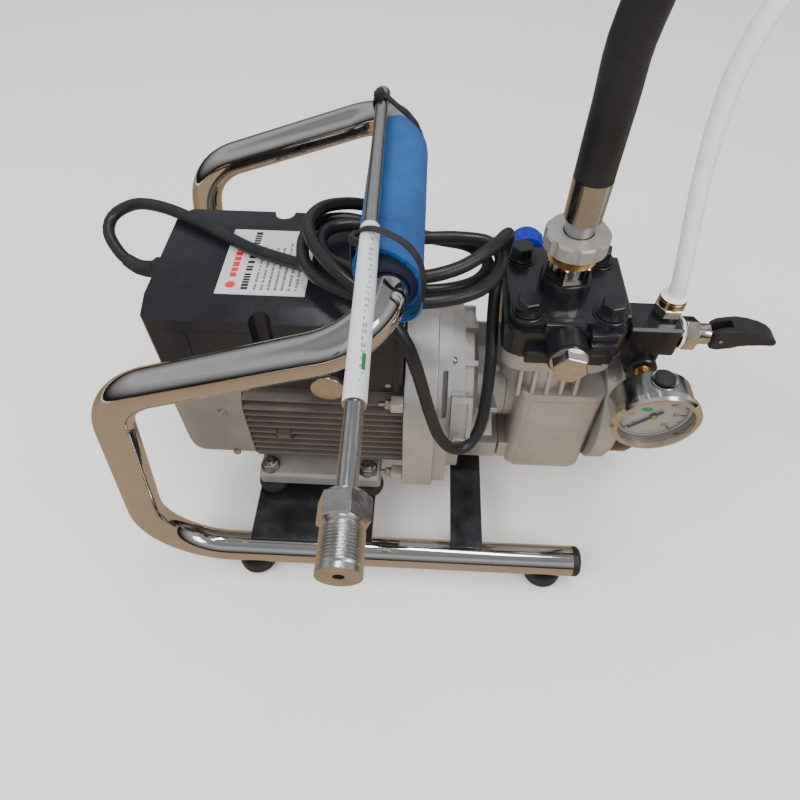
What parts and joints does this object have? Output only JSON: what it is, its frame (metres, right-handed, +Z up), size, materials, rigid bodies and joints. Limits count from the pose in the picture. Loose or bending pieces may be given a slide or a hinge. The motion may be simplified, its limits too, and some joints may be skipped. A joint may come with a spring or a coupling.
{
  "type": "airless paint sprayer",
  "caption": "Portable electric airless paint sprayer: diaphragm pump, finned motor and control box on a bent chrome tube skid with handle, gauge, hoses, lance and cable.",
  "frame": {"origin": "centre of the footprint of the machine without its free hoses and cable, on the plane its feet stand on", "axes": "+X along the motor shaft towards the pump, +Y across the frame away from the gauge side, +Z up"},
  "size_m": [1.0361, 0.4443, 0.5961],
  "materials": {
    "chrome_tube": "polished",
    "steel": "satin",
    "dark_steel": "polished",
    "cast_aluminium": "as cast",
    "motor_grey": "satin",
    "black_metal": "satin",
    "black_plastic": "fine grain",
    "rubber": "matt",
    "blue_fabric": "woven",
    "blue_plastic": "gloss",
    "white_plastic": "satin",
    "label": "satin",
    "polished_case": "polished",
    "glass": "clear"
  },
  "bodies": {
    "machine": {"frame_tube_near": "chrome_tube", "frame_tube_far": "chrome_tube", "rail_plug_near": "black_plastic", "rail_plug_far": "black_plastic", "foot_near_rear": "rubber", "foot_near_front": "rubber", "foot_far_rear": "rubber", "foot_far_front": "rubber", "base_plate": "dark_steel", "pump_strap": "dark_steel", "motor_foot": "cast_aluminium", "motor_mount_near_rear": "rubber", "motor_mount_near_front": "rubber", "motor_mount_far_rear": "rubber", "motor_mount_far_front": "rubber", "motor_housing": "motor_grey", "fan_cowl": "motor_grey", "motor_front_flange": "cast_aluminium", "gear_housing": "cast_aluminium", "pump_body": "cast_aluminium", "pump_piston": "steel", "pump_end_flange": "cast_aluminium", "end_cover": "black_metal", "pump_head": "black_metal", "head_bolt_rear_near": "black_metal", "head_bolt_front_near": "black_metal", "head_bolt_rear_far": "black_metal", "head_bolt_front_far": "black_metal", "suction_valve_body": "steel", "suction_hose_end": "steel", "outlet_nipple": "steel", "front_hex_plug": "polished_case", "valve_block": "black_metal", "drain_valve_body": "steel", "return_fitting": "steel", "gauge_case": "polished_case", "gauge_bezel": "polished_case", "gauge_lens": "glass", "gauge_fill_plug": "rubber", "control_box_base": "black_plastic", "control_box_lid": "black_plastic", "rating_label": "label", "cable_gland": "black_plastic", "handle_pad": "blue_fabric", "lance_tube": "cast_aluminium", "lance_tip_fitting": "steel", "mains_cable": "rubber", "mains_plug": "rubber", "suction_hose": "rubber", "suction_strainer": "steel", "return_hose": "white_plastic"},
    "switch_knob": {"switch_knob": "black_plastic"},
    "pressure_knob": {"pressure_knob": "blue_plastic"},
    "valve_stem": {"drain_valve_stem": "steel"},
    "valve_lever": {"drain_lever": "black_plastic"},
    "needle": {"gauge_needle": "black_plastic"},
    "rotor": {"rotor_shaft": "steel", "cooling_fan": "black_plastic", "eccentric_shaft": "steel"},
    "castle_nut": {"suction_castle_nut": "cast_aluminium"}
  },
  "joints": [
    {"name": "switch_turn", "type": "hinge", "parent": "machine", "child": "switch_knob", "pos_m": [-0.0904, 0.00585, 0.203], "axis": [0, 1, 0], "range_deg": [0, 90]},
    {"name": "pressure_turn", "type": "hinge", "parent": "machine", "child": "pressure_knob", "pos_m": [0.0701, 0.11835, 0.24], "axis": [0, 1, 0], "range_deg": [-270, 270]},
    {"name": "lever_turn", "type": "hinge", "parent": "valve_stem", "child": "valve_lever", "pos_m": [0.2216, 0.04635, 0.2225], "axis": [0, 1, 0], "range_deg": [-90, 0]},
    {"name": "stem_slide", "type": "slide", "parent": "machine", "child": "valve_stem", "axis": [1, 0, 0], "range_m": [0, 0.0055]},
    {"name": "needle_turn", "type": "hinge", "parent": "machine", "child": "needle", "pos_m": [0.1661, -0.01915, 0.195], "axis": [0, 1, 0], "range_deg": [0, 270]},
    {"name": "shaft_turn", "type": "hinge", "parent": "machine", "child": "rotor", "pos_m": [-0.1129, 0.06785, 0.1295], "axis": [1, 0, 0], "continuous": true},
    {"name": "castle_nut_turn", "type": "hinge", "parent": "machine", "child": "castle_nut", "pos_m": [0.0941, 0.06785, 0.2885], "axis": [0, 0, 1], "range_deg": [0, 360]}
  ],
  "couplings": [
    {"joint": "stem_slide", "follows": "lever_turn", "m_per_rad": -0.0035014}
  ]
}
